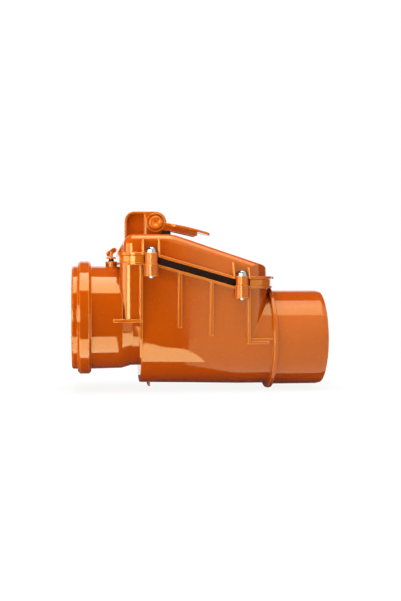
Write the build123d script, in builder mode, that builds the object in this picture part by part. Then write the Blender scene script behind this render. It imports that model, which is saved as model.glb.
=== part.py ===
from build123d import *

import math
import os

# Backwater valve DN 110: a chamber with an inlet socket, an outlet spigot and a bolted inspection cover.
# A hinged flap closes the inlet against returning water, and a lever on the cover locks it shut.
# Millimetres, +Z up, +X the way the water flows.
# The origin is on the outlet axis, 57 mm inside the spigot's end.

os.makedirs("parts", exist_ok=True)

# Clearances
fit = 0.05
running = 0.06
loose = 0.3

# Pipe ends
wall = 3.2
spigot_radius = 55.0
spigot_length = 57.0
spigot_chamfer_length = 5.0
spigot_chamfer_depth = 1.1
ring_radius = 59.5
ring_left = -7.0
ring_right = -2.2
ring_fillet = 1.2
inlet_rise = 24.2
neck_radius = 54.4
neck_lower_radius = 55.4
socket_bore_radius = 55.2
socket_tube_radius = 59.2
socket_tube_draft = 0.6
socket_bead_radius = 64.8
socket_rim_x = -232.3
socket_lead = 1.2
bead_outer_x = -225.7
bead_inner_x = -210.5
bead_chamfer = 2.6
rim_chamfer = 1.4
socket_shoulder_x = -176.0
neck_cone_length = 11.0
seal_groove_left = -224.4
seal_groove_right = -212.4
seal_groove_radius = 61.6
seal_lip = 2.4

# Chamber
chamber_left = -155.5
chamber_half_width = 55.0
trough_sections = ((-155.5, 3.9), (-99.0, 2.8), (-39.0, 1.4))
trough_end_round = 1.5
left_bulge = 20.5
left_corner = 14.0
right_bulge = 30.0
right_bulge_start = -35.0
outlet_neck_radius = 54.2
ledge_bore = 45.5
ledge_length = 8.0

# Joint line between body and cover: flat at both ends and sloping between two knees
joint_left_height = 95.0
joint_right_height = 68.6
knee_left_x = -145.5
knee_right_x = -52.2
knee_radius = 14.0
joint_gap = 8.0
lip_thickness = 2.6
lip_reach = 5.0
collar_reach = 3.2
collar_thickness = 1.1
collar_left_x = -152.5
collar_right_x = -34.5
gasket_reach = 0.9
gasket_inner = 2.4
gasket_bead_reach = 1.9
gasket_bead_low = -5.4
gasket_bead_high = -3.2
beyond = 30.0

# Bolts and their bosses: x, then the heights of the boss's foot, its split and its top
boss_radius = 8.0
cover_boss_radius = 6.9
boss_y = 63.3
boss_web = 10.0
boss_clear = 1.4
boss_flat = 57.2
bosses = ((-144.8, 71.6, 85.2, 97.4), (-43.9, 47.2, 61.4, 71.7))
bolt_radius = 3.0
bolt_tip_below = 2.2
bolt_head_radius = 5.6
bolt_head_height = 5.2
bolt_head_round = 3.2
bolt_socket_radius = 2.3
bolt_socket_depth = 2.4
washer_reach = 0.8
washer_thickness = 1.2
insert_wall = 1.3
insert_length = 9.0

# Ribs and foot on the body
rib_thickness = 2.8
rib_reach = 4.0
gussets = ((-112.4, 14.7), (-76.8, 5.6))
gusset_thickness = 3.6
gusset_toe = 0.8
wing_thickness = 3.2
left_rib_x = -157.0
left_wing_x = -186.0
left_wing_z = 22.4
left_wing_reach = 6.6
left_rib_toe = ((57.5, 2.0), (50.8, -19.0))
right_rib_x = -33.6
right_wing_x = -12.5
right_wing_z = -2.6
foot_x = -144.5
foot_thickness = 2.0
foot_half_width = 14.0
foot_bottom = -54.8
foot_top = -40.0

# Pillar on the left wing, in front of the neck
column_left = -178.8
column_half_width = 58.0
column_corner = 11.0

# Cover
cover_rise = 23.6
cover_inset = 1.5
cover_draft = 3.0
cover_knee_x = -119.5
cover_low_x = -24.5
cover_low_height = 87.0
cover_knee_radius = 45.0
cover_edge_radius = 9.5
cover_end_radius = 11.5
flange_thickness = 3.0
flange_reach = 5.0
flange_inner = 5.0
tab_x = 2.3
tab_half_width = 6.0
bolt_rib_offset = 8.8
bolt_rib_thickness = 2.0
bolt_rib_reach = 8.5
bolt_rib_rise = 15.0

# Lever bracket on the cover
pivot_x = -136.5
pivot_rise = 14.9
fin_left = -172.0
fin_rise = 12.9
fin_corner = 11.5
fin_web = 3.2
fin_rim_width = 13.0
fin_rim = 2.2
fin_gusset_x = -181.0
fin_gusset_drop = 5.1
pad_radius = 11.0
cheek_thickness = 3.6
slot_left = -148.6
cheek_left = -148.9

# Lever, square pin and cam; the outlines' points are distances from the lever's pivot
lever_turn = 120.0
hub_radius = 11.0
hub_thickness = 4.2
hub_boss_radius = 6.0
hub_groove_outer = 9.6
hub_groove_inner = 7.6
hub_groove_depth = 1.2
square_pin = 5.0
pin_head_radius = 7.3
pin_head_height = 1.8
pin_dimple_radius = 4.6
pin_dimple_depth = 2.4
pin_clip_radius = 6.2
pin_clip_thickness = 1.0
lever_top_points = ((4.5, 0.7), (43.3, -6.5), (63.3, -12.0))
handle_root = 14.5
handle_width = 29.0
handle_thickness = 2.8
handle_corner = 9.0
skirt_recess = 1.4
skirt_points = ((2.5, -8.6), (16.8, -9.3), (45.7, -15.8), (48.3, -14.6), (48.3, -8.5))
cam_low = 5.2
cam_lift = 6.0
cam_nose = 2.4
cam_steps = 6

# Push rod, its gland and its spring
rod_radius = 3.0
rod_head_reach = 1.1
rod_head_thickness = 1.6
rod_tip_reach = 0.5
rod_tip_length = 8.0
rod_stud_radius = 1.8
rod_stud_length = 5.0
rod_tip_gap = 0.15
guide_wall = 3.0
guide_length = 15.6
spring_depth = 7.6
spring_pocket_play = 0.5
spring_play = 0.38
spring_wire = 0.8
spring_wire_sides = 6
spring_turns = 5.0
gland_play = 0.34
gland_length = 6.0
seal_section = 2.6
seal_section_sides = 8
bush_length = 3.3

# Seat, flap and hinge
seat_bore = 42.5
seat_outer = 51.0
seat_flange = 2.0
seat_bead = 0.8
seat_bead_outer = 45.8
seat_gasket_thickness = 1.0
seat_sleeve_length = 6.0
seat_screw_pitch = 48.2
seat_screw_radius = 1.5
seat_screw_head = 2.6
seat_screw_length = 8.0
seat_screw_depth = 6.5
seat_screw_turn = 45.0
flap_radius = 48.0
flap_plate = 4.0
flap_rib_height = 3.0
flap_rib_width = 2.6
flap_ring_rib = 27.0
flap_boss_radius = 9.0
flap_ribs = 8
flap_rib_end = 44.0
flap_skin = 0.8
flap_seal_thickness = 2.2
flap_seal_outer = 46.3
flap_seal_inner = 38.0
clamp_outer = 40.6
clamp_lip = 1.2
flap_screw_pitch = 32.0
flap_screw_count = 6
flap_screw_radius = 1.5
flap_screw_head = 2.8
flap_screw_head_height = 1.6
hinge_rise = 54.6
hinge_pin_radius = 2.5
hinge_pin_half = 17.0
knuckle_wall = 2.5
knuckle_half = 9.0
lug_gap = 0.4
lug_thickness = 4.8
lug_drop = 7.8
link_length = 18.0
ear_length = 11.4
ear_depth = 6.0
ear_half = 5.0
clip_thickness = 1.0
clip_reach = 2.1
clip_grip = 0.4
clip_groove = 0.5

# Test plug on the socket
plug_x = -187.3
plug_boss_radius = 6.6
plug_boss_top = 88.6
plug_bore = 3.2
plug_stem_radius = 1.9
plug_sleeve_radius = 2.9
plug_collar_radius = 3.6
plug_collar_height = 0.8
plug_disc_bottom = 91.8
plug_foot = 80.5
plug_disc_radius = 5.6
plug_disc_height = 2.0
plug_wing_thickness = 3.2
plug_wing_radius = 2.9
plug_wing_low = (-190.2, 97.2)
plug_wing_high = (-184.0, 101.8)

# Rubber stop under the lever
bumper_left = -130.0
bumper_right = -119.3
bumper_height = 5.2
bumper_half = 12.6

# Values worked out from the sizes above
far = 400.0
half_width = chamber_half_width
bolt_hole_radius = bolt_radius + loose
washer_radius = bolt_head_radius + washer_reach
insert_radius = bolt_radius + insert_wall
cover_top = joint_left_height + cover_rise
pivot_z = cover_top + pivot_rise
fin_top = pivot_z + fin_rise
fin_foot = joint_left_height + flange_thickness
fin_gusset_top = cover_top - fin_gusset_drop
end_wall_face = chamber_left + wall
seat_face = end_wall_face + seat_gasket_thickness + seat_flange + seat_bead
flap_front = seat_face + loose
plate_front = flap_front + flap_seal_thickness
plate_back = plate_front + flap_plate
inlet_axis = Axis((0, 0, inlet_rise), (1, 0, 0))
cover_base = joint_right_height
joint_slope = (joint_right_height - joint_left_height) / (knee_right_x - knee_left_x)
cover_slope = (cover_low_height - cover_top) / (cover_low_x - cover_knee_x)
(trough_start, trough_left_centre), (trough_bend, trough_bend_centre) = trough_sections[:2]
trough_fall = (trough_bend_centre - trough_left_centre) / (trough_bend - trough_start)
trough_right_centre = trough_sections[-1][1]
rod_head_radius = rod_radius + rod_head_reach
rod_tip_radius = rod_radius + rod_tip_reach
slot_width = 2 * (rod_head_radius + loose)
cam_width = slot_width - 2 * loose
pad_width = slot_width + 2 * cheek_thickness
cheek_bore = hub_boss_radius + fit
gland_radius = rod_radius + running + seal_section + gland_play
guide_radius = gland_radius + guide_wall
guide_bottom = cover_top - guide_length
gland_top = guide_bottom + gland_length
spring_seat = cover_top - spring_depth
spring_pocket_radius = rod_head_radius + spring_pocket_play
spring_radius = rod_radius + spring_wire / 2 + spring_play
knuckle_radius = hinge_pin_radius + knuckle_wall
lug_radius = knuckle_radius
hinge_x = end_wall_face + knuckle_radius + loose
clip_radius = hinge_pin_radius + clip_reach
clip_neck = hinge_pin_radius - clip_groove
clip_slot = 2 * clip_neck - clip_grip
ear_height = knuckle_radius
hinge_z = inlet_rise + hinge_rise
rod_top = pivot_z - cam_low - running
rod_bottom = hinge_z + ear_height + cam_lift + rod_tip_gap
neck_bore = socket_bore_radius - wall
hub_inner = pad_width / 2 + loose
hub_outer = hub_inner + hub_thickness
gasket_face = end_wall_face + seat_gasket_thickness
flange_face = gasket_face + seat_flange


def plan_sketch(grow, height=0.0, tail=0.0):
    """Plan of the chamber, grown by one amount: round corners at the left, half an ellipse at the right."""
    half = half_width + grow
    left = chamber_left - left_bulge - grow - tail
    with BuildSketch(Plane.XY.offset(height)) as plan:
        with BuildLine():
            FilletPolyline((right_bulge_start, half), (left, half), (left, -half), (right_bulge_start, -half),
                           radius=left_corner + grow)
            EllipticalCenterArc((right_bulge_start, 0), right_bulge + grow, half, -90, arc_size=180)
        make_face()
    return plan.sketch


def joint_points(rise):
    """The joint line in side view, moved up by one amount."""
    return [
        (chamber_left - left_bulge - beyond, joint_left_height + rise),
        (knee_left_x, joint_left_height + rise),
        (knee_right_x, joint_right_height + rise),
        (beyond, joint_right_height + rise),
    ]


def joint_sketch(low, high):
    """Side view of the space between two heights over the joint line."""
    with BuildSketch(Plane.XZ) as band:
        with BuildLine():
            lower = FilletPolyline(*joint_points(low), radius=knee_radius)
            upper = FilletPolyline(*joint_points(high), radius=knee_radius)
            Line(lower @ 0, upper @ 0)
            Line(lower @ 1, upper @ 1)
        make_face()
    return band.sketch


def joint_band(outer, inner, low, high):
    """A ring that follows the chamber's plan and the joint line."""
    with BuildPart() as band:
        extrude(plan_sketch(outer), amount=far)
        extrude(plan_sketch(-inner), amount=far, mode=Mode.SUBTRACT)
        extrude(joint_sketch(low, high), amount=far, both=True, mode=Mode.INTERSECT)
    return band.part


def block(x_low, x_high, y_low, y_high, z_low, z_high, mode=Mode.ADD):
    """A block from its six limits, in the part that is being made."""
    with Locations(((x_low + x_high) / 2, (y_low + y_high) / 2, (z_low + z_high) / 2)):
        Box(x_high - x_low, abs(y_high - y_low), z_high - z_low, mode=mode)


def post(x, y, radius, z_low, z_high, mode=Mode.ADD):
    """An upright cylinder, in the part that is being made."""
    with Locations((x, y, (z_low + z_high) / 2)):
        Cylinder(radius, z_high - z_low, mode=mode)


def axle(x, z, radius, y_low, y_high, mode=Mode.ADD):
    """A cylinder that lies across the flow, in the part that is being made."""
    with Locations((x, (y_low + y_high) / 2, z)):
        Cylinder(radius, y_high - y_low, rotation=(90, 0, 0), mode=mode)


def disc(x_low, x_high, outer, inner=0.0, mode=Mode.ADD):
    """A flat ring on the inlet axis, in the part that is being made."""
    with BuildSketch(Plane.YZ.offset(x_low)) as ring:
        with Locations((0, inlet_rise)):
            Circle(outer)
            if inner:
                Circle(inner, mode=Mode.SUBTRACT)
    extrude(ring.sketch, amount=x_high - x_low, mode=mode)


def turned(*points):
    """A piece turned about the inlet axis, from distances along the axis and away from it."""
    with BuildPart() as piece:
        with BuildSketch(Plane.XZ):
            with BuildLine():
                Polyline(*[(x, inlet_rise + radius) for x, radius in points], close=True)
            make_face()
        revolve(axis=inlet_axis)
    return piece.part


def half_disc(x, radius, centre):
    """Lower half of a circle across the flow."""
    with BuildSketch(Plane.YZ.offset(x)) as half:
        with Locations((0, centre)):
            Circle(radius)
            Rectangle(2 * radius, radius, align=(Align.CENTER, Align.MIN), mode=Mode.SUBTRACT)
    return half.sketch


def trough(radius, left, right):
    """The round-bottomed lower half of the chamber: it falls gently, then runs level to the outlet."""
    with BuildPart() as shape:
        for x, centre in trough_sections:
            add(half_disc(x, radius, centre))
        add(half_disc(right, radius, trough_right_centre))
        loft(ruled=True)
        block(-far, left, -far, far, -far, far, mode=Mode.SUBTRACT)
    return shape.part


def upper_chamber(grow, left_x, left_floor, rise):
    """The straight-walled upper half, from the trough's middle up past the joint line by one amount."""
    left_centre = trough_left_centre + trough_fall * (left_x - trough_start)
    with BuildPart() as shape:
        extrude(plan_sketch(grow), amount=far)
        with BuildSketch(Plane.XZ):
            with BuildLine():
                top = FilletPolyline(*joint_points(rise), radius=knee_radius)
                start = top @ 0
                end = top @ 1
                Polyline(
                    (start.X, start.Y),
                    (start.X, left_floor),
                    (left_x, left_floor),
                    (left_x, left_centre),
                    *trough_sections[1:],
                    (end.X, trough_right_centre),
                    (end.X, end.Y),
                )
            make_face()
        extrude(amount=far, both=True, mode=Mode.INTERSECT)
    return shape.part


def upper_half_tube(radius, right):
    """The outlet neck's upper half, from the bulge's start to one distance along the flow."""
    with BuildPart() as shape:
        with BuildSketch(Plane.YZ.offset(right_bulge_start)):
            Circle(radius)
            Rectangle(2 * radius, radius, align=(Align.CENTER, Align.MAX), mode=Mode.SUBTRACT)
        extrude(amount=right - right_bulge_start)
    return shape.part


def cross_plate(x, thickness, points):
    """A thin plate across the flow on both sides, from its outline in end view."""
    with BuildPart() as plate:
        with BuildSketch(Plane.YZ.offset(x - thickness / 2)):
            with BuildLine():
                Polyline(*points, close=True)
            make_face()
        extrude(amount=thickness)
        mirror(about=Plane.XZ)
    return plate.part


def bolt_rib(x, top):
    """The pair of small webs that stands on the cover's flange beside one bolt."""
    inside = half_width - wall
    outside = half_width + bolt_rib_reach
    outline = ((inside, 0), (outside, 0), (outside, top), (half_width, top + bolt_rib_rise),
               (inside, top + bolt_rib_rise))
    with BuildPart() as ribs:
        add(cross_plate(x, bolt_rib_thickness, outline))
        extrude(joint_sketch(0, far), amount=far, both=True, mode=Mode.INTERSECT)
    return ribs.part


def cover_shape(inset, drop):
    """The cover's domed form without its flange, made smaller by a wall for its inside."""
    rise = far / 4
    lean = rise * math.tan(math.radians(cover_draft))
    grow = -cover_inset - inset
    edge_radius = cover_edge_radius - drop
    high = cover_top - drop
    knee_x = cover_knee_x - drop * math.tan(math.atan(-cover_slope) / 2)
    left = chamber_left - left_bulge - grow
    right = right_bulge_start + right_bulge + grow - lean * (cover_low_height - cover_base) / rise
    right_high = high + cover_slope * (right - knee_x)
    end_radius = cover_end_radius - drop
    with BuildPart() as roof:
        with BuildSketch(Plane.YZ.offset(-far)):
            with BuildLine():
                Polyline(
                    (-half_width - grow, cover_base),
                    (-half_width - grow + lean, cover_base + rise),
                    (half_width + grow - lean, cover_base + rise),
                    (half_width + grow, cover_base),
                    close=True,
                )
            make_face()
        extrude(amount=2 * far)
        with BuildSketch(Plane.XZ):
            with BuildLine():
                line = FilletPolyline(
                    (left, 0), (left, high), (knee_x, high), (right, right_high), (right, 0),
                    radius=(end_radius, cover_knee_radius, end_radius),
                )
                Line(line @ 1, line @ 0)
            make_face()
        extrude(amount=far, both=True, mode=Mode.INTERSECT)
        side_edges = roof.faces().filter_by(lambda face: abs(face.normal_at().Y) > 0.9).edges()
        fillet(side_edges - side_edges.group_by(Axis.Z)[0], edge_radius)
    with BuildPart() as shape:
        add(plan_sketch(grow, cover_base, beyond))
        add(plan_sketch(grow - lean, cover_base + rise, beyond))
        loft(ruled=True)
        add(roof.part, mode=Mode.INTERSECT)
    return shape.part


def fin_outline(inset):
    """Side view of the lever bracket: a fin with a round corner at the left and a round end at the pivot."""
    radius = fin_top - pivot_z - inset
    with BuildSketch(Plane.XZ) as outline:
        with BuildLine():
            Polyline(
                (fin_left + inset, fin_foot),
                (fin_left + inset, fin_top - inset),
                (pivot_x, fin_top - inset),
                (pivot_x, fin_foot),
                close=True,
            )
        make_face()
        corner = outline.vertices().filter_by(lambda point: point.Y > pivot_z).sort_by(Axis.X)[0]
        fillet(corner, fin_corner - inset)
        with Locations((pivot_x, pivot_z)):
            Circle(radius)
            Rectangle(2 * radius, pivot_z - cover_top + wall / 2, align=(Align.CENTER, Align.MAX))
    return outline.sketch


def cover_bolt(x, y, foot, head):
    """One bolt with a domed head and a hexagon socket, standing on its washer."""
    seat = head + washer_thickness
    with BuildPart() as piece:
        post(x, y, bolt_head_radius, seat, seat + bolt_head_height)
        fillet(piece.edges().sort_by(Axis.Z)[-1], bolt_head_round)
        with BuildSketch(Plane.XY.offset(seat + bolt_head_height)):
            with Locations((x, y)):
                RegularPolygon(bolt_socket_radius, 6)
        extrude(amount=-bolt_socket_depth, mode=Mode.SUBTRACT)
        post(x, y, bolt_radius, foot - bolt_tip_below, seat)
        chamfer(piece.edges().sort_by(Axis.Z)[0], bolt_radius / 5)
    return piece.part


def from_pivot(points, drop=0.0):
    """Points in side view from their distances to the lever's pivot, lowered by one amount."""
    return [(pivot_x + x, pivot_z + z - drop) for x, z in points]


def under_handle(drop):
    """Side view of all that lies under the handle's curved top, lowered by one amount."""
    first, middle, last = from_pivot(lever_top_points, drop)
    with BuildSketch(Plane.XZ) as side:
        with BuildLine():
            ThreePointArc(first, middle, last)
            Polyline(last, (last[0], 0), (first[0], 0), first)
        make_face()
    return side.sketch


def polar(radius, angle):
    """Point in side view at one distance and direction from the lever's pivot."""
    turn = math.radians(angle)
    return (pivot_x + radius * math.cos(turn), pivot_z + radius * math.sin(turn))


def cam_point(angle):
    """Point where the cam's outline faces one direction, which is where it touches the rod's flat head."""
    climb = cam_lift / math.radians(lever_turn)
    reach = cam_low + climb * math.radians(270 - angle)
    x, z = polar(reach, angle)
    turn = math.radians(angle)
    return (x + climb * math.sin(turn), z - climb * math.cos(turn))


def square_way(y_low, y_high, mode=Mode.SUBTRACT, gap=fit):
    """The square pin's shape across the flow, wider by a gap where a hole is cut for it."""
    half = square_pin / 2 + gap
    block(pivot_x - half, pivot_x + half, y_low, y_high, pivot_z - half, pivot_z + half, mode=mode)


def countersinks(gap):
    """The cone-shaped heads of the four screws that hold the seat ring."""
    with BuildPart() as cones:
        with BuildSketch(Plane.YZ.offset(flange_face)):
            with Locations((0, inlet_rise)):
                with PolarLocations(seat_screw_pitch, 4, seat_screw_turn):
                    Circle(seat_screw_head + gap)
        extrude(amount=seat_screw_radius - seat_screw_head, taper=45)
    return cones.part


def flap_screw_shanks(x_low, x_high, gap):
    """The six round lengths of the flap's screws between two heights, thicker by a gap."""
    with BuildPart() as shanks:
        with BuildSketch(Plane.YZ.offset(x_low)):
            with Locations((0, inlet_rise)):
                with PolarLocations(flap_screw_pitch, flap_screw_count):
                    Circle(flap_screw_radius + gap)
        extrude(amount=x_high - x_low)
    return shanks.part


def save(part, name):
    """Names one finished piece and writes its file."""
    part.label = name
    export_step(part, f"parts/{name}.step")


lip = joint_band(lip_reach, wall, -joint_gap - lip_thickness, -joint_gap)
collar_ring = joint_band(collar_reach, collar_thickness - collar_reach, -joint_gap, -loose)
chamber_outside = upper_chamber(0, chamber_left, inlet_rise, -joint_gap)
chamber_inside = upper_chamber(-wall, end_wall_face, inlet_rise + wall, beyond)
with BuildPart() as trough_outside:
    add(trough(half_width, chamber_left, ring_right - fit))
    end_arc = trough_outside.edges().group_by(Axis.X)[0].sort_by(SortBy.LENGTH)[-1]
    fillet(end_arc, trough_end_round)
trough_inside = trough(half_width - wall, end_wall_face, 0)
lip_gussets = []
with BuildPart() as column:
    with BuildSketch(Plane.XY.offset(left_wing_z)):
        with BuildLine():
            edge = FilletPolyline(
                (left_rib_x + rib_thickness / 2, column_half_width),
                (column_left, column_half_width),
                (column_left, -column_half_width),
                (left_rib_x + rib_thickness / 2, -column_half_width),
                radius=column_corner,
            )
            Line(edge @ 1, edge @ 0)
        make_face()
    extrude(amount=far)
    extrude(joint_sketch(-far, -joint_gap), amount=far, both=True, mode=Mode.INTERSECT)
for x, foot in gussets:
    head = joint_left_height - joint_gap + joint_slope * (x - knee_left_x) - lip_thickness / 2
    reach = half_width + lip_reach - gusset_toe
    outline = (
        (half_width - wall, head),
        (reach, head),
        (half_width + gusset_toe, foot),
        (half_width - wall, foot),
    )
    lip_gussets.append(cross_plate(x, gusset_thickness, outline))
socket_outside = turned(
    (socket_rim_x, 0),
    (socket_rim_x, socket_tube_radius - rim_chamfer),
    (socket_rim_x + rim_chamfer, socket_tube_radius),
    (bead_outer_x, socket_tube_radius),
    (bead_outer_x, socket_bead_radius - bead_chamfer),
    (bead_outer_x + bead_chamfer, socket_bead_radius),
    (bead_inner_x - bead_chamfer, socket_bead_radius),
    (bead_inner_x, socket_bead_radius - bead_chamfer),
    (bead_inner_x, socket_tube_radius),
    (socket_shoulder_x, socket_tube_radius - socket_tube_draft),
    (socket_shoulder_x, neck_radius),
    (end_wall_face, neck_radius),
    (end_wall_face, 0),
)
neck_cone = turned(
    (socket_shoulder_x, neck_bore),
    (socket_shoulder_x, socket_tube_radius - socket_tube_draft),
    (socket_shoulder_x + neck_cone_length, neck_lower_radius),
    (chamber_left + fit, neck_lower_radius),
    (chamber_left + fit, neck_bore),
)
with BuildPart() as lower_neck:
    add(neck_cone)
    block(-far, far, -far, far, inlet_rise, far, mode=Mode.SUBTRACT)
left_rib_toes = cross_plate(
    left_rib_x + rib_thickness / 2,
    rib_thickness,
    ((left_rib_toe[1][0] - wall, left_wing_z), (half_width + rib_reach, left_wing_z), *left_rib_toe,
     (left_rib_toe[1][0] - wall, left_rib_toe[1][1])),
)
socket_inside = turned(
    (socket_rim_x, 0),
    (socket_rim_x, socket_bore_radius + socket_lead),
    (seal_groove_left, socket_bore_radius + socket_lead),
    (seal_groove_left, seal_groove_radius),
    (seal_groove_right, seal_groove_radius),
    (seal_groove_right, socket_bore_radius),
    (socket_shoulder_x, socket_bore_radius),
    (socket_shoulder_x, neck_bore),
    (end_wall_face - ledge_length, neck_bore),
    (end_wall_face - ledge_length, ledge_bore),
    (end_wall_face, ledge_bore),
    (end_wall_face, 0),
)

# Collars outside the gasket, at the two level ends of the joint line
with BuildPart() as collars:
    add(collar_ring)
    block(collar_left_x, collar_right_x, -far, far, 0, far, mode=Mode.SUBTRACT)

# Body: chamber, socket and spigot in one moulding
with BuildPart() as housing:
    with BuildSketch(Plane.YZ.offset(ring_left)):
        Circle(ring_radius)
    extrude(amount=ring_right - ring_left)
    fillet(housing.edges(), ring_fillet)
    with BuildSketch(Plane.YZ.offset(ring_right)):
        Circle(spigot_radius)
    extrude(amount=spigot_length - spigot_chamfer_length - ring_right)
    with BuildSketch(Plane.YZ.offset(spigot_length - spigot_chamfer_length)):
        Circle(spigot_radius)
    with BuildSketch(Plane.YZ.offset(spigot_length)):
        Circle(spigot_radius - spigot_chamfer_depth)
    loft()
    add(chamber_outside)
    add(trough_outside.part)
    add(upper_half_tube(outlet_neck_radius, ring_left))
    add(column.part)
    add(lip)
    add(lip_gussets)
    for sign in (-1, 1):
        near = sign * (half_width - wall)
        out = sign * (half_width + rib_reach)
        low, high = sorted((near, out))
        block(left_rib_x, left_rib_x + rib_thickness, low, high, left_wing_z, joint_left_height - joint_gap)
        block(right_rib_x - rib_thickness, right_rib_x, low, high,
              right_wing_z, joint_right_height - joint_gap)
        low, high = sorted((near, out + sign * (left_wing_reach - rib_reach)))
        block(left_wing_x, left_rib_x + rib_thickness, low, high,
              left_wing_z - wing_thickness / 2, left_wing_z + wing_thickness / 2)
        low, high = sorted((near, out))
        block(right_rib_x - rib_thickness, right_wing_x, low, high,
              right_wing_z - wing_thickness / 2, right_wing_z + wing_thickness / 2)
        for x, foot, split, head in bosses:
            post(x, sign * boss_y, boss_radius, foot, split)
            low, high = sorted((near, sign * boss_y))
            block(x - boss_web / 2, x + boss_web / 2, low, high, foot, split)
            low, high = sorted((sign * (half_width + boss_clear), sign * far))
            block(x - boss_radius - loose, x + boss_radius + loose, low, high, split, head,
                  mode=Mode.SUBTRACT)
    extrude(joint_sketch(-joint_gap, far), amount=half_width + boss_clear, both=True, mode=Mode.SUBTRACT)
    add(left_rib_toes)
    block(foot_x - foot_thickness / 2, foot_x + foot_thickness / 2, -foot_half_width, foot_half_width,
          foot_bottom, foot_top)
    add(collars.part)
    # inside of the chamber and the outlet
    add(chamber_inside, mode=Mode.SUBTRACT)
    add(trough_inside, mode=Mode.SUBTRACT)
    with BuildSketch(Plane.YZ.offset(ring_left - wall)):
        Circle(spigot_radius - wall)
    extrude(amount=far, mode=Mode.SUBTRACT)
    add(upper_half_tube(spigot_radius - wall, 0), mode=Mode.SUBTRACT)
    # socket and neck, and the ledge that carries the seat ring
    add(socket_outside)
    add(lower_neck.part)
    post(plug_x, 0, plug_boss_radius, inlet_rise, plug_boss_top)
    add(socket_inside, mode=Mode.SUBTRACT)
    post(plug_x, 0, plug_bore, inlet_rise, far, mode=Mode.SUBTRACT)
    for x, foot, split, head in bosses:
        for sign in (-1, 1):
            post(x, sign * boss_y, bolt_hole_radius, 0, split, mode=Mode.SUBTRACT)
            post(x, sign * boss_y, insert_radius, split - insert_length, split, mode=Mode.SUBTRACT)
    with BuildSketch(Plane.YZ.offset(end_wall_face)):
        with Locations((0, inlet_rise)):
            with PolarLocations(seat_screw_pitch, 4, seat_screw_turn):
                Circle(seat_screw_radius + fit)
    extrude(amount=-seat_screw_depth, mode=Mode.SUBTRACT)
save(housing.part, "housing")

# Cover: dome, flange, bolt bosses and the fin-shaped bracket that carries the lever
with BuildPart() as cover_bosses:
    for x, foot, split, head in bosses:
        for sign in (-1, 1):
            post(x, sign * boss_y, cover_boss_radius, split, head)
            low, high = sorted((sign * (half_width - wall), sign * boss_y))
            block(x - boss_web / 2, x + boss_web / 2, low, high, split, head)
    extrude(joint_sketch(-far, 0), amount=boss_flat, both=True, mode=Mode.SUBTRACT)

with BuildPart() as fin_pockets:
    extrude(fin_outline(fin_rim), amount=fin_rim_width, both=True)
    block(-far, far, -fin_web / 2, fin_web / 2, 0, far, mode=Mode.SUBTRACT)
    block(cheek_left, far, -far, far, 0, far, mode=Mode.SUBTRACT)

with BuildPart() as bracket:
    extrude(fin_outline(0), amount=fin_rim_width / 2, both=True)
    add(fin_pockets.part, mode=Mode.SUBTRACT)
    axle(pivot_x, pivot_z, pad_radius, -pad_width / 2, pad_width / 2)
    block(pivot_x - pad_radius, pivot_x + pad_radius, -pad_width / 2, pad_width / 2,
          cover_top - wall / 2, pivot_z)
    block(slot_left, far, -slot_width / 2, slot_width / 2, cover_top, far, mode=Mode.SUBTRACT)

with BuildPart() as cover:
    add(cover_shape(0, 0))
    extrude(joint_sketch(0, far), amount=far, both=True, mode=Mode.INTERSECT)
    add(bracket.part)
    with BuildSketch(Plane.XZ):
        with BuildLine():
            Polyline(
                (fin_gusset_x, fin_foot),
                (fin_left, fin_gusset_top),
                (fin_left + wall, fin_gusset_top),
                (fin_left + wall, fin_foot - flange_thickness / 2),
                (fin_gusset_x, fin_foot - flange_thickness / 2),
                close=True,
            )
        make_face()
    extrude(amount=fin_web / 2, both=True)
    add(cover_bosses.part)
    for x, foot, split, head in bosses:
        fall = 2 * bolt_rib_offset * cover_slope if x > cover_knee_x else 0.0
        add(bolt_rib(x - bolt_rib_offset, head))
        add(bolt_rib(x + bolt_rib_offset, head + fall))
    add(cover_shape(wall, wall), mode=Mode.SUBTRACT)
    add(joint_band(flange_reach, flange_inner, 0, flange_thickness))
    block(-flange_reach, tab_x, -tab_half_width, tab_half_width,
          joint_right_height, joint_right_height + flange_thickness)
    post(pivot_x, 0, guide_radius, guide_bottom, cover_top - wall / 2)
    post(pivot_x, 0, gland_radius, guide_bottom, gland_top, mode=Mode.SUBTRACT)
    post(pivot_x, 0, rod_radius + running, guide_bottom, cover_top, mode=Mode.SUBTRACT)
    post(pivot_x, 0, spring_pocket_radius, spring_seat, far, mode=Mode.SUBTRACT)
    axle(pivot_x, pivot_z, cheek_bore, -pad_width, pad_width, mode=Mode.SUBTRACT)
    for x, foot, split, head in bosses:
        for sign in (-1, 1):
            post(x, sign * boss_y, bolt_hole_radius, split, head, mode=Mode.SUBTRACT)
            post(x, sign * boss_y, washer_radius + loose, head, head + flange_thickness, mode=Mode.SUBTRACT)
save(cover.part, "cover")

# Gasket in the joint, with a bead that stands out between body and cover
with BuildPart() as cover_gasket:
    add(joint_band(gasket_reach, gasket_inner, -joint_gap, 0))
    add(joint_band(gasket_bead_reach, gasket_inner, gasket_bead_low, gasket_bead_high))
save(cover_gasket.part, "cover_gasket")

# Cover bolts with their washers and brass inserts, four of each
with BuildPart() as cover_bolts:
    for x, foot, split, head in bosses:
        for sign in (-1, 1):
            add(cover_bolt(x, sign * boss_y, foot, head))
save(cover_bolts.part, "cover_bolts")

with BuildPart() as bolt_washers:
    for x, foot, split, head in bosses:
        for sign in (-1, 1):
            post(x, sign * boss_y, washer_radius, head, head + washer_thickness)
            post(x, sign * boss_y, bolt_hole_radius, 0, far, mode=Mode.SUBTRACT)
save(bolt_washers.part, "bolt_washers")

with BuildPart() as threaded_inserts:
    for x, foot, split, head in bosses:
        for sign in (-1, 1):
            post(x, sign * boss_y, insert_radius - fit, split - insert_length, split - fit)
            post(x, sign * boss_y, bolt_radius + fit, 0, far, mode=Mode.SUBTRACT)
save(threaded_inserts.part, "threaded_inserts")

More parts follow.
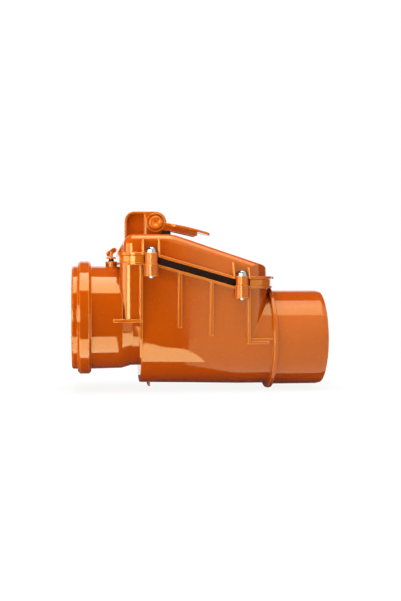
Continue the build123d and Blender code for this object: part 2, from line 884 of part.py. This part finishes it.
# Lever: two hubs and two arms, and a curved handle plate across them
skirt = from_pivot(skirt_points)
with BuildPart() as lever_side:
    with BuildSketch(Plane.XZ.offset(hub_inner)):
        with BuildLine():
            Polyline(*skirt, (skirt[-1][0], fin_top), (skirt[0][0], fin_top), close=True)
        make_face()
        add(under_handle(0), mode=Mode.INTERSECT)
    extrude(amount=hub_thickness)
    with BuildSketch(Plane.XZ.offset(hub_outer)):
        add(under_handle(handle_thickness))
    extrude(amount=-skirt_recess, mode=Mode.SUBTRACT)
    axle(pivot_x, pivot_z, hub_radius, -hub_outer, -hub_inner)
    axle(pivot_x, pivot_z, hub_boss_radius, -hub_inner, -slot_width / 2 - running)
    with BuildSketch(Plane.XZ.offset(hub_outer)):
        with Locations((pivot_x, pivot_z)):
            Circle(hub_groove_outer)
            Circle(hub_groove_inner, mode=Mode.SUBTRACT)
    extrude(amount=-hub_groove_depth, mode=Mode.SUBTRACT)

with BuildPart() as lock_lever:
    extrude(under_handle(0), amount=far, both=True)
    extrude(under_handle(handle_thickness), amount=far, both=True, mode=Mode.SUBTRACT)
    with BuildSketch():
        handle_length = lever_top_points[-1][0] - handle_root
        with Locations((pivot_x + handle_root + handle_length / 2, 0)):
            RectangleRounded(handle_length, handle_width, handle_corner)
    extrude(amount=far, mode=Mode.INTERSECT)
    add(lever_side.part)
    mirror(lever_side.part, about=Plane.XZ)
    square_way(-far, far)
save(lock_lever.part, "lock_lever")

with BuildPart() as lever_pin:
    axle(pivot_x, pivot_z, pin_head_radius, -hub_outer - pin_head_height, -hub_outer)
    chamfer(lever_pin.edges().sort_by(Axis.Y)[0], pin_head_height / 4)
    square_way(-hub_outer, hub_outer + pin_clip_thickness + loose, Mode.ADD, 0)
    with Locations((pivot_x, pin_dimple_depth / 2 - hub_outer - pin_head_height, pivot_z)):
        Cone(pin_dimple_radius, fit, pin_dimple_depth, rotation=(-90, 0, 0), mode=Mode.SUBTRACT)
save(lever_pin.part, "lever_pin")

with BuildPart() as pin_clip:
    axle(pivot_x, pivot_z, pin_clip_radius, hub_outer, hub_outer + pin_clip_thickness)
    square_way(-far, far)
save(pin_clip.part, "pin_clip")

# Cam: its lobe pushes the rod down evenly as the lever turns
lobe_angle = 270 - lever_turn
lobe_x, lobe_z = cam_point(lobe_angle)
nose_x = lobe_x - cam_nose * math.cos(math.radians(lobe_angle))
nose_z = lobe_z - cam_nose * math.sin(math.radians(lobe_angle))
nose_reach = math.hypot(nose_x - pivot_x, nose_z - pivot_z)
nose_angle = math.degrees(math.atan2(nose_z - pivot_z, nose_x - pivot_x))
back_angle = nose_angle - math.degrees(math.acos((cam_low - cam_nose) / nose_reach))
nose_points = []
for angle in ((lobe_angle + back_angle) / 2, back_angle):
    turn = math.radians(angle)
    nose_points.append((nose_x + cam_nose * math.cos(turn), nose_z + cam_nose * math.sin(turn)))
with BuildPart() as lever_cam:
    with BuildSketch(Plane.XZ):
        with BuildLine():
            angles = [270 - lever_turn * step / cam_steps for step in range(cam_steps + 1)]
            Spline(*[cam_point(angle) for angle in angles])
            ThreePointArc((lobe_x, lobe_z), *nose_points)
            Line(nose_points[-1], polar(cam_low, back_angle))
            ThreePointArc(polar(cam_low, back_angle), polar(cam_low, (back_angle - 90) / 2),
                          polar(cam_low, -90))
            Line(polar(cam_low, -90), cam_point(270))
        make_face()
    extrude(amount=cam_width / 2, both=True)
    square_way(-far, far)
save(lever_cam.part, "lever_cam")

# Push rod with its rubber tip
with BuildPart() as push_rod:
    post(pivot_x, 0, rod_radius, rod_bottom + rod_tip_length, rod_top)
    post(pivot_x, 0, rod_head_radius, rod_top - rod_head_thickness, rod_top)
    post(pivot_x, 0, rod_stud_radius,
         rod_bottom + rod_tip_length - rod_stud_length, rod_bottom + rod_tip_length)
save(push_rod.part, "push_rod")

with BuildPart() as rod_tip:
    post(pivot_x, 0, rod_tip_radius, rod_bottom, rod_bottom + rod_tip_length)
    chamfer(rod_tip.edges().sort_by(Axis.Z)[0], rod_tip_radius / 5)
    post(pivot_x, 0, rod_stud_radius + fit, rod_bottom + rod_tip_length - rod_stud_length - loose, far,
         mode=Mode.SUBTRACT)
save(rod_tip.part, "rod_tip")

with BuildPart() as return_spring:
    spring_low = spring_seat + spring_wire / 2 + running
    spring_high = rod_top - rod_head_thickness - spring_wire / 2 - running
    with BuildLine():
        coil = Helix((spring_high - spring_low) / spring_turns, spring_high - spring_low, spring_radius,
                     center=(pivot_x, 0, spring_low))
    with BuildSketch(Plane(origin=coil @ 0, z_dir=coil % 0)):
        RegularPolygon(spring_wire / 2, spring_wire_sides)
    sweep()
save(return_spring.part, "return_spring")

with BuildPart() as rod_seal:
    with BuildSketch(Plane.XZ):
        with Locations((pivot_x + rod_radius + running + seal_section / 2,
                        gland_top - seal_section / 2 - fit)):
            RegularPolygon(seal_section / 2, seal_section_sides)
    revolve(axis=Axis((pivot_x, 0, 0), (0, 0, 1)))
save(rod_seal.part, "rod_seal")

with BuildPart() as rod_bush:
    post(pivot_x, 0, gland_radius - fit, guide_bottom, guide_bottom + bush_length)
    post(pivot_x, 0, rod_radius + running, guide_bottom, far, mode=Mode.SUBTRACT)
save(rod_bush.part, "rod_bush")

# Seat ring on its gasket, screwed to the end wall, with the two lugs that carry the hinge pin
with BuildPart() as seat_gasket:
    disc(end_wall_face, gasket_face, seat_outer - loose, ledge_bore + fit)
    with BuildSketch(Plane.YZ.offset(end_wall_face)):
        with Locations((0, inlet_rise)):
            with PolarLocations(seat_screw_pitch, 4, seat_screw_turn):
                Circle(seat_screw_radius + fit)
    extrude(amount=seat_gasket_thickness, mode=Mode.SUBTRACT)
save(seat_gasket.part, "seat_gasket")

lug_y = knuckle_half + lug_gap
with BuildPart() as seat_ring:
    disc(end_wall_face - seat_sleeve_length, gasket_face, ledge_bore - loose)
    disc(gasket_face, flange_face, seat_outer)
    disc(flange_face, seat_face, seat_bead_outer)
    axle(hinge_x, hinge_z, knuckle_radius + lug_gap, -lug_y, lug_y, mode=Mode.SUBTRACT)
    for y in (-lug_y - lug_thickness, lug_y):
        axle(hinge_x, hinge_z, lug_radius, y, y + lug_thickness)
        block(gasket_face, hinge_x, y, y + lug_thickness, hinge_z - lug_drop, hinge_z)
    axle(hinge_x, hinge_z, hinge_pin_radius + fit, -far, far, mode=Mode.SUBTRACT)
    disc(-far, seat_face, seat_bore, mode=Mode.SUBTRACT)
    with BuildSketch(Plane.YZ.offset(gasket_face)):
        with Locations((0, inlet_rise)):
            with PolarLocations(seat_screw_pitch, 4, seat_screw_turn):
                Circle(seat_screw_radius + fit)
    extrude(amount=seat_flange, mode=Mode.SUBTRACT)
    add(countersinks(fit), mode=Mode.SUBTRACT)
save(seat_ring.part, "seat_ring")

with BuildPart() as seat_ring_screws:
    add(countersinks(0))
    with BuildSketch(Plane.YZ.offset(flange_face)):
        with Locations((0, inlet_rise)):
            with PolarLocations(seat_screw_pitch, 4, seat_screw_turn):
                Circle(seat_screw_radius)
    extrude(amount=-seat_screw_length)
save(seat_ring_screws.part, "seat_ring_screws")

# Flap with its knuckle, locking ear and stiffening ribs
with BuildPart() as flap:
    disc(plate_front, plate_back, flap_radius)
    disc(plate_back, plate_back + flap_rib_height, flap_ring_rib + flap_rib_width, flap_ring_rib)
    disc(plate_back, plate_back + flap_rib_height, flap_boss_radius)
    with BuildSketch(Plane.YZ.offset(plate_back)):
        with Locations((0, inlet_rise)):
            for step in range(1, flap_ribs):
                with Locations(Rotation(0, 0, 90 + step * 360 / flap_ribs)):
                    with Locations((flap_rib_end / 2, 0)):
                        Rectangle(flap_rib_end, flap_rib_width)
    extrude(amount=flap_rib_height)
    block(plate_front, plate_back, -knuckle_half, knuckle_half, hinge_z - link_length, hinge_z)
    axle(hinge_x, hinge_z, knuckle_radius, -knuckle_half, knuckle_half)
    block(hinge_x, hinge_x + ear_length, -ear_half, ear_half,
          hinge_z + ear_height - ear_depth, hinge_z + ear_height)
    axle(hinge_x, hinge_z, hinge_pin_radius + running, -far, far, mode=Mode.SUBTRACT)
    add(flap_screw_shanks(plate_front, plate_back - flap_skin, fit), mode=Mode.SUBTRACT)
save(flap.part, "flap")

clamp_face = flap_front - clamp_lip
with BuildPart() as flap_seal:
    disc(flap_front, plate_front, flap_seal_outer, flap_seal_inner)
save(flap_seal.part, "flap_seal")

with BuildPart() as flap_clamp_disc:
    disc(flap_front, plate_front, flap_seal_inner - fit)
    disc(clamp_face, flap_front, clamp_outer)
    add(flap_screw_shanks(clamp_face, plate_front, fit), mode=Mode.SUBTRACT)
save(flap_clamp_disc.part, "flap_clamp_disc")

with BuildPart() as flap_screws:
    add(flap_screw_shanks(clamp_face, plate_back - flap_skin, 0))
    add(flap_screw_shanks(clamp_face - flap_screw_head_height, clamp_face,
                          flap_screw_head - flap_screw_radius))
save(flap_screws.part, "flap_screws")

clip_y = lug_y + lug_thickness + lug_gap
with BuildPart() as hinge_pin:
    axle(hinge_x, hinge_z, clip_neck, -hinge_pin_half, hinge_pin_half)
    axle(hinge_x, hinge_z, hinge_pin_radius, running - clip_y, clip_y - running)
    for sign in (-1, 1):
        low, high = sorted((sign * (clip_y + clip_thickness + running), sign * hinge_pin_half))
        axle(hinge_x, hinge_z, hinge_pin_radius, low, high)
save(hinge_pin.part, "hinge_pin")

with BuildPart() as hinge_clips:
    for y in (-clip_y - clip_thickness, clip_y):
        axle(hinge_x, hinge_z, clip_radius, y, y + clip_thickness)
    axle(hinge_x, hinge_z, clip_neck + fit, -far, far, mode=Mode.SUBTRACT)
    block(hinge_x - clip_slot / 2, hinge_x + clip_slot / 2, -far, far, 0, hinge_z, mode=Mode.SUBTRACT)
save(hinge_clips.part, "hinge_clips")

# Test plug on the socket, with its rubber sleeve
with BuildPart() as test_plug:
    post(plug_x, 0, plug_stem_radius, plug_foot, plug_disc_bottom + plug_disc_height)
    post(plug_x, 0, plug_disc_radius, plug_disc_bottom, plug_disc_bottom + plug_disc_height)
    chamfer(test_plug.edges().sort_by(Axis.Z)[-1], plug_disc_height / 4)
    wing_x = (plug_wing_low[0] + plug_wing_high[0]) / 2
    wing_z = (plug_wing_low[1] + plug_wing_high[1]) / 2
    post(plug_x, 0, plug_stem_radius, plug_disc_bottom, wing_z)
    run = plug_wing_high[0] - plug_wing_low[0]
    climb = plug_wing_high[1] - plug_wing_low[1]
    with BuildSketch(Plane.XZ):
        with Locations((wing_x, wing_z)):
            SlotCenterToCenter(math.hypot(run, climb), 2 * plug_wing_radius,
                               rotation=math.degrees(math.atan2(climb, run)))
    extrude(amount=plug_wing_thickness / 2, both=True)
save(test_plug.part, "test_plug")

with BuildPart() as test_plug_seal:
    post(plug_x, 0, plug_sleeve_radius, plug_foot, plug_disc_bottom - fit)
    post(plug_x, 0, plug_collar_radius, plug_boss_top + fit, plug_boss_top + fit + plug_collar_height)
    post(plug_x, 0, plug_stem_radius + fit, 0, far, mode=Mode.SUBTRACT)
save(test_plug_seal.part, "test_plug_seal")

# Rubber stop under the lever's arms, cut out around the bracket's cheeks
with BuildPart() as lever_bumper:
    block(bumper_left, bumper_right, -bumper_half, bumper_half, cover_top, cover_top + bumper_height)
    block(-far, pivot_x + fin_top - pivot_z + loose, -pad_width / 2 - loose, pad_width / 2 + loose, 0, far,
          mode=Mode.SUBTRACT)
save(lever_bumper.part, "lever_bumper")

# Lip ring in the socket's groove, drawn pushed back as it is with a pipe in the socket
lip_root = seal_groove_radius - loose - seal_lip
lip_edge = socket_bore_radius + loose
socket_seal = turned(
    (seal_groove_left + loose, seal_groove_radius - loose),
    (seal_groove_right - loose, seal_groove_radius - loose),
    (seal_groove_right - loose, lip_root),
    (seal_groove_left + 2 * seal_lip, lip_root),
    (seal_groove_right - seal_lip, lip_edge),
    (seal_groove_right - 2 * seal_lip, lip_edge),
    (seal_groove_left + loose, lip_root),
)
save(socket_seal, "socket_seal")
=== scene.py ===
import math

import bpy
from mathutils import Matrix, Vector


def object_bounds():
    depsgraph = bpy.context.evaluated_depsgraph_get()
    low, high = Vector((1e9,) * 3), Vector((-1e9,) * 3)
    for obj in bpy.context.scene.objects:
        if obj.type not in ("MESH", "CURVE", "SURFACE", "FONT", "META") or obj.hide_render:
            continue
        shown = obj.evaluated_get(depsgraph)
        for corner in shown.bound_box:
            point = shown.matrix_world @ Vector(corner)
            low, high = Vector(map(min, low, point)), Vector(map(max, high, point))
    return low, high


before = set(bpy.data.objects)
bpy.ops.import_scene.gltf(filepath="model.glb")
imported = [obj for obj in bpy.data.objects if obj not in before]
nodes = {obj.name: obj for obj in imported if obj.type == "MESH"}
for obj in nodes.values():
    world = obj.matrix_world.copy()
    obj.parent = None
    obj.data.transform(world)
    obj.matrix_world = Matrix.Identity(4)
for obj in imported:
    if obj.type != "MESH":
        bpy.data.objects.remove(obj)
cad_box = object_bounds()
floor_height = cad_box[0].z

# Camera in the photograph's place: metres, degrees, and millimetres for the lens and the sensor
CAMERA_PLACE = (-0.2111, -1.105, 0.0697)
CAMERA_YAW = 6.6
CAMERA_PITCH = 1.36
CAMERA_LENS = 56.9
CAMERA_SENSOR = 36
CAMERA_CLIP = 0.01

# Colours are linear
WHITE = (1.0, 1.0, 1.0)
ORANGE = (0.44, 0.066, 0.0008)
ORANGE_DEEP = (0.40, 0.056, 0.0006)
# A lighter copy of the orange: painted light for the cover and the lever, which get too little light
ORANGE_PAINTED_LIT = (0.56, 0.09, 0.001)
# Lighter random specks, and painted highlight on edges and thin walls
ORANGE_SPECK_AND_HIGHLIGHT = (0.95, 0.28, 0.01)
# Painted shade: the colour that tight corners are darkened towards
ORANGE_CORNER_SHADE = (0.20, 0.017, 0.0002)
ORANGE_SHEEN = (1.0, 0.80, 0.32)
GREY = (0.10, 0.105, 0.11)
GREY_DEEP = (0.07, 0.073, 0.078)
# Lighter random specks, and painted highlight on edges and thin walls
GREY_SPECK_AND_HIGHLIGHT = (0.2, 0.2, 0.2)
# Painted shade: the colour that tight corners are darkened towards
GREY_CORNER_SHADE = (0.03, 0.03, 0.03)
BLACK = (0.007, 0.003, 0.002)
BLACK_DUSTY = (0.013, 0.006, 0.004)
RUBBER_SHEEN = (1.0, 0.5, 0.35)
ZINC = (0.25, 0.25, 0.265)
ZINC_DULL = (0.20, 0.20, 0.21)
STAINLESS = (0.62, 0.61, 0.60)
STAINLESS_DULL = (0.45, 0.45, 0.45)
BRASS = (0.72, 0.48, 0.17)
BRASS_DULL = (0.5, 0.33, 0.12)

# Metres: how far an edge looks rounded, and how far a surface looks for a thin wall, which gets painted
# highlight, or for a tight corner, which gets painted shade
PLASTIC_EDGE = 0.0016
RUBBER_EDGE = 0.0003
METAL_EDGE = 0.0002
THIN_WALL = 0.0022
TIGHT_CORNER = 0.004

# About how rough each material is, where 0 is a mirror
ORANGE_ROUGHNESS = 0.07
GREY_ROUGHNESS = 0.35
ZINC_ROUGHNESS = 0.14
STAINLESS_ROUGHNESS = 0.22
BRASS_ROUGHNESS = 0.3

# How bright the lights and the room look, where 1 is white
TOP_GLOW = 8.0
RIGHT_GLOW = 3.2
KEY_GLOW = 16.0
LEFT_GLOW = 6.0
CARD_GLOW = 7.5
ROOM_DARK = 0.08
ROOM_BRIGHT = 2.0
ROOM_FILL = 0.5

# Where the mirrored room changes, as X (to the right) or Y (to the back) of the direction
BRIGHT_FROM_X = (0.085, 0.12)
DARK_FROM_Y = (-0.1, 0.2)
WHITE_FROM_Y = (0.82, 0.9)

# Softboxes in metres: two hang level overhead, and two stand low and face the part
CEILING_Y = -0.215
CEILING_HEIGHT = 0.95
CEILING_DEPTH = 0.81
TOP_X = -0.20
TOP_WIDTH = 0.50
RIGHT_X = 0.25
RIGHT_WIDTH = 0.40
LOW_AIM = (-0.17, -0.05, 0.05)
LOW_HEIGHT = 0.36
KEY_PLACE = (-0.49, -0.95, 0.12)
KEY_WIDTH = 0.46
LEFT_PLACE = (-1.05, -0.42, 0.12)
LEFT_WIDTH = 0.90

# The floor's colour, and what the camera and reflections see in its place: a dark surface that takes the
# shadows, with a glow that grows from one value to the other over a range of distances in metres
FLOOR_SIZE = 6
FLOOR = (0.88, 0.88, 0.88)
FLOOR_SHADE = (0.10, 0.10, 0.10)
FLOOR_GLOW = (0.89, 0.97)
FLOOR_DISTANCE = (0.5, 1.5)

# Cards above the floor, which only show in reflections: two that glow lie over a dark and a bright one,
# whose border runs from under the part out past the camera's right side
GLOWING_HEIGHT = 0.003
ROOM_HEIGHT = 0.001
REACH = 2.9
BRIGHT_BACK = -0.036
# The dark card reaches this far behind, under the part. There it is painted shade: in reflections it stands
# in for the part's shadow on the floor.
DARK_BACK = 0.15
DARK_RIGHT = 0.30
BORDER_START = (-0.047, BRIGHT_BACK)
BORDER_BEND = (-0.103, -0.055)
BORDER_END = (0.189, -REACH)

# Each card's name, glow, height and corners
CARDS = (
    ("socket_card", CARD_GLOW, GLOWING_HEIGHT, (
        (-0.47, -0.125), (-0.178, -0.125), (-0.178, -0.050), (-0.47, -0.050),
    )),
    ("wall_card", CARD_GLOW, GLOWING_HEIGHT, (
        (-0.163, -0.112), (-0.153, -0.112), (-0.152, -0.26), (-0.135, -0.21),
        (-0.125, -0.157), (-0.099, -0.134), (-0.080, -0.063), (-0.163, -0.063),
    )),
    ("dark_card", ROOM_DARK, ROOM_HEIGHT, (
        (-REACH, DARK_BACK), (-REACH, -REACH), BORDER_END, BORDER_BEND, BORDER_START,
        (DARK_RIGHT, BRIGHT_BACK), (DARK_RIGHT, DARK_BACK),
    )),
    ("bright_card", ROOM_BRIGHT, ROOM_HEIGHT, (
        BORDER_BEND, BORDER_END, (REACH, -REACH), (REACH, BRIGHT_BACK), BORDER_START,
    )),
)


class Shader:
    """The nodes of a material or the world, with short calls for the ones that are used over and over."""

    def __init__(self, owner, output="OutputMaterial"):
        owner.use_nodes = True
        self.owner = owner
        self.tree = owner.node_tree
        self.tree.nodes.clear()
        self.output = self.node(output)
        self.coordinates = self.node("TexCoord").outputs

    def node(self, kind, inputs=None, **settings):
        """A new node, whose inputs are plain values, colours or other nodes' outputs."""
        made = self.tree.nodes.new("ShaderNode" + kind)
        for name, value in settings.items():
            setattr(made, name, value)
        for key, value in (inputs or {}).items():
            socket = made.inputs[key]
            if isinstance(value, bpy.types.NodeSocket):
                self.tree.links.new(value, socket)
            elif socket.type == "RGBA":
                socket.default_value = (*value, 1)
            else:
                socket.default_value = value
        return made

    def noise(self, scale, detail, stretch=None):
        """Noise that the scale makes finer, and that a stretch squeezes along X, Y and Z."""
        place = self.coordinates["Object"]
        if stretch:
            place = self.node("Mapping", {"Vector": place, "Scale": stretch}).outputs["Vector"]
        return self.node("TexNoise", {"Vector": place, "Scale": scale, "Detail": detail}).outputs["Fac"]

    def ramp(self, value, span, results):
        """A number that runs from one result to the other while the value crosses the span."""
        low, high = span
        at_low, at_high = results
        inputs = {"Value": value, "From Min": low, "From Max": high, "To Min": at_low, "To Max": at_high}
        return self.node("MapRange", inputs).outputs["Result"]

    def mix(self, share, first, second):
        """The first colour where the share is 0, and the second where it is 1."""
        # The Mix node's colours are its inputs 6 and 7 and its output 2
        return self.node("Mix", {0: share, 6: first, 7: second}, data_type="RGBA").outputs[2]

    def math(self, operation, first, second):
        return self.node("Math", {0: first, 1: second}, operation=operation).outputs[0]

    def bump(self, height, distance, strength, normal):
        inputs = {"Height": height, "Distance": distance, "Strength": strength, "Normal": normal}
        return self.node("Bump", inputs).outputs["Normal"]

    def rounded(self, radius):
        """Normals that turn smoothly over the edges."""
        return self.node("Bevel", {"Radius": radius}, samples=4).outputs["Normal"]

    def edges(self, rounded):
        """1 on the edges that the rounded normals turn over, and 0 on flat places."""
        plain = self.node("NewGeometry").outputs["Normal"]
        along = self.node("VectorMath", {0: rounded, 1: plain}, operation="DOT_PRODUCT").outputs["Value"]
        return self.ramp(along, (0.995, 0.9), (0, 1))

    def openness(self, distance, **settings):
        """1 where nothing is nearer than the distance, and less where something is."""
        return self.node("AmbientOcclusion", {"Distance": distance}, samples=8, **settings).outputs["AO"]

    def rays(self):
        """Two switches: one for what the camera sees, and one for what reflections and glass show."""
        path = self.node("LightPath")
        mirrored = self.math("MAXIMUM", path.outputs["Is Glossy Ray"], path.outputs["Is Transmission Ray"])
        return path.outputs["Is Camera Ray"], mirrored

    def diffuse(self, colour):
        return self.node("BsdfDiffuse", {"Color": colour}).outputs[0]

    def glow(self, strength):
        return self.node("Emission", {"Color": WHITE, "Strength": strength}).outputs[0]

    def show(self, shader):
        """Puts a shader on the owner of the nodes, and returns that owner."""
        self.tree.links.new(shader, self.output.inputs["Surface"])
        return self.owner

    def surface(self, **inputs):
        """Puts a principled surface on the owner, with its inputs' names written with underscores."""
        named = {key.replace("_", " "): value for key, value in inputs.items()}
        return self.show(self.node("BsdfPrincipled", named).outputs[0])


def moulded_plastic(name, colour, deep, speck_and_highlight, corner_shade, roughness, sheen=WHITE):
    """Moulded plastic: slow colour drift, faint sink marks, lighter specks, painted highlight on edges and
    thin walls, painted shade in tight corners.
    """
    s = Shader(bpy.data.materials.new(name))
    rounded = s.rounded(PLASTIC_EDGE)
    drift = s.ramp(s.noise(scale=14, detail=3), (0.35, 0.65), (0, 1))
    body = s.mix(drift, deep, colour)
    speck = s.ramp(s.noise(scale=900, detail=2), (0.66, 0.74), (0, 0.35))
    body = s.mix(speck, body, speck_and_highlight)
    # Painted highlight: rounded edges and thin walls are mixed towards the lighter colour, as if they
    # caught the light
    thin = s.ramp(s.openness(THIN_WALL, inside=True, only_local=True), (0.8, 0.4), (0, 0.6))
    painted_edge_highlight = s.math("MULTIPLY", s.math("MAXIMUM", s.edges(rounded), thin), 0.7)
    body = s.mix(painted_edge_highlight, body, speck_and_highlight)
    # Painted shade: tight corners, where little light reaches, are mixed towards the corner shade colour
    painted_corner_shade = s.ramp(s.openness(TIGHT_CORNER), (0.25, 0.75), (0.45, 0))
    body = s.mix(painted_corner_shade, body, corner_shade)
    rough = s.ramp(s.noise(scale=60, detail=4), (0.3, 0.7), (roughness - 0.02, roughness + 0.03))
    sink = s.bump(s.noise(scale=22, detail=1), distance=0.00025, strength=0.15, normal=rounded)
    fine = s.bump(s.noise(scale=1500, detail=2), distance=0.000005, strength=0.2, normal=sink)
    return s.surface(Base_Color=body, Roughness=rough, Normal=fine, IOR=1.55, Specular_Tint=sheen)


def rubber(name):
    """Black rubber, slightly dusty."""
    s = Shader(bpy.data.materials.new(name))
    dust = s.ramp(s.noise(scale=160, detail=4), (0.45, 0.75), (0, 0.25))
    body = s.mix(dust, BLACK, BLACK_DUSTY)
    rough = s.ramp(s.noise(scale=400, detail=3), (0.3, 0.7), (0.28, 0.45))
    grain = s.noise(scale=1200, detail=3)
    fine = s.bump(grain, distance=0.00002, strength=0.5, normal=s.rounded(RUBBER_EDGE))
    return s.surface(Base_Color=body, Roughness=rough, Normal=fine, Specular_IOR_Level=0.15,
                     Specular_Tint=RUBBER_SHEEN)


def metal(name, colour, dull, roughness):
    """Plated or turned metal with fine tool marks."""
    s = Shader(bpy.data.materials.new(name))
    tarnish = s.ramp(s.noise(scale=120, detail=3), (0.35, 0.7), (0, 1))
    body = s.mix(tarnish, colour, dull)
    marks = s.noise(scale=500, detail=3, stretch=(1, 1, 8))
    rough = s.ramp(marks, (0.3, 0.7), (roughness - 0.07, roughness + 0.1))
    fine = s.bump(marks, distance=0.00001, strength=0.4, normal=s.rounded(METAL_EDGE))
    return s.surface(Base_Color=body, Metallic=1.0, Roughness=rough, Normal=fine)


def softbox(name, place, target, width, height, glow):
    """A rectangular studio light that faces a point, as bright as glow times white."""
    light = bpy.data.lights.new(name, "AREA")
    light.shape = "RECTANGLE"
    light.size = width
    light.size_y = height
    light.energy = glow * math.pi * width * height
    lamp = bpy.data.objects.new(name, light)
    bpy.context.collection.objects.link(lamp)
    lamp.location = place
    aim = Vector(target) - Vector(place)
    lamp.rotation_euler = aim.to_track_quat("-Z", "Y").to_euler()
    lamp.visible_camera = False
    return lamp


def ceiling_softbox(name, x, width, glow):
    """A softbox that hangs level and shines straight down."""
    return softbox(name, (x, CEILING_Y, CEILING_HEIGHT), (x, CEILING_Y, 0.0), width, CEILING_DEPTH, glow)


def reflected_card(name, strength, height, corners):
    """A flat card that only shows in reflections."""
    mesh = bpy.data.meshes.new(name)
    mesh.from_pydata([(x, y, floor_height + height) for x, y in corners], [], [range(len(corners))])
    card = bpy.data.objects.new(name, mesh)
    bpy.context.collection.objects.link(card)
    s = Shader(bpy.data.materials.new(name))
    mesh.materials.append(s.show(s.glow(strength)))
    card.visible_camera = False
    card.visible_diffuse = False
    card.visible_transmission = False
    card.visible_shadow = False


def pale_floor():
    """The floor under the part, and the white that the camera sees round it."""
    bpy.ops.mesh.primitive_plane_add(size=FLOOR_SIZE, location=(0, 0, floor_height))
    floor = bpy.context.object
    floor.name = "floor"
    s = Shader(bpy.data.materials.new("pale_floor"))
    distance = s.node("VectorMath", {0: s.coordinates["Object"]}, operation="LENGTH").outputs["Value"]
    strength = s.ramp(distance, FLOOR_DISTANCE, FLOOR_GLOW)
    lit = s.node("AddShader", {0: s.diffuse(FLOOR_SHADE), 1: s.glow(strength)}).outputs[0]
    from_camera, mirrored = s.rays()
    seen = s.math("MAXIMUM", from_camera, mirrored)
    shown = s.node("MixShader", {0: seen, 1: s.diffuse(FLOOR), 2: lit}).outputs[0]
    floor.data.materials.append(s.show(shown))


def studio_world():
    """White for the camera, and in reflections bright in front at the right, white straight behind the
    part, and dark elsewhere."""
    s = Shader(bpy.data.worlds.new("studio"), output="OutputWorld")
    direction = s.node("SeparateXYZ", {0: s.coordinates["Generated"]}).outputs
    front = s.ramp(direction["X"], BRIGHT_FROM_X, (ROOM_DARK, ROOM_BRIGHT))
    sides = s.ramp(direction["Y"], DARK_FROM_Y, (front, ROOM_DARK))
    room = s.ramp(direction["Y"], WHITE_FROM_Y, (sides, 1.0))
    from_camera, mirrored = s.rays()
    light = s.ramp(mirrored, (0, 1), (ROOM_FILL, room))
    seen = s.ramp(from_camera, (0, 1), (light, 1.0))
    return s.show(s.node("Background", {"Color": WHITE, "Strength": seen}).outputs[0])


def photo_camera():
    """The camera, turned and tilted as in the photograph."""
    lens = bpy.data.cameras.new("camera")
    lens.lens = CAMERA_LENS
    lens.sensor_width = CAMERA_SENSOR
    lens.clip_start = CAMERA_CLIP
    camera = bpy.data.objects.new("camera", lens)
    bpy.context.collection.objects.link(camera)
    camera.location = CAMERA_PLACE
    camera.rotation_euler = (math.radians(90 - CAMERA_PITCH), 0, math.radians(-CAMERA_YAW))
    return camera


orange = moulded_plastic("orange_plastic", ORANGE, ORANGE_DEEP, ORANGE_SPECK_AND_HIGHLIGHT, ORANGE_CORNER_SHADE,
                         ORANGE_ROUGHNESS, ORANGE_SHEEN)
# The cover and the lever take the lighter copy of the orange: painted light where too little light reaches
# them
painted_lit_orange = moulded_plastic("fresh_orange_plastic", ORANGE_PAINTED_LIT, ORANGE, ORANGE_SPECK_AND_HIGHLIGHT, ORANGE_CORNER_SHADE,
                               ORANGE_ROUGHNESS, ORANGE_SHEEN)
grey = moulded_plastic("grey_plastic", GREY, GREY_DEEP, GREY_SPECK_AND_HIGHLIGHT, GREY_CORNER_SHADE, GREY_ROUGHNESS)
black = rubber("black_rubber")
zinc = metal("zinc_steel", ZINC, ZINC_DULL, ZINC_ROUGHNESS)
stainless = metal("stainless_steel", STAINLESS, STAINLESS_DULL, STAINLESS_ROUGHNESS)
brass = metal("brass", BRASS, BRASS_DULL, BRASS_ROUGHNESS)

looks = {
    orange: ("housing", "flap", "test_plug"),
    painted_lit_orange: ("cover", "lock_lever", "lever_pin", "lever_cam"),
    black: ("cover_gasket", "lever_bumper", "rod_tip", "rod_seal", "seat_gasket", "flap_seal",
            "test_plug_seal", "socket_seal"),
    zinc: ("cover_bolts", "bolt_washers", "pin_clip"),
    stainless: ("push_rod", "return_spring", "seat_ring_screws", "flap_screws", "hinge_pin", "hinge_clips"),
    brass: ("threaded_inserts",),
    grey: ("rod_bush", "seat_ring", "flap_clamp_disc"),
}
for material, names in looks.items():
    for name in names:
        mesh = nodes[name].data
        mesh.materials.clear()
        mesh.materials.append(material)

ceiling_softbox("top_softbox", TOP_X, TOP_WIDTH, TOP_GLOW)
ceiling_softbox("right_softbox", RIGHT_X, RIGHT_WIDTH, RIGHT_GLOW)
key = softbox("key_softbox", KEY_PLACE, LOW_AIM, KEY_WIDTH, LOW_HEIGHT, KEY_GLOW)
key.visible_diffuse = False
softbox("left_softbox", LEFT_PLACE, LOW_AIM, LEFT_WIDTH, LOW_HEIGHT, LEFT_GLOW)
for name, strength, height, corners in CARDS:
    reflected_card(name, strength, height, corners)
pale_floor()
bpy.context.scene.world = studio_world()
bpy.context.scene.camera = photo_camera()
bpy.context.scene.view_settings.view_transform = "Standard"
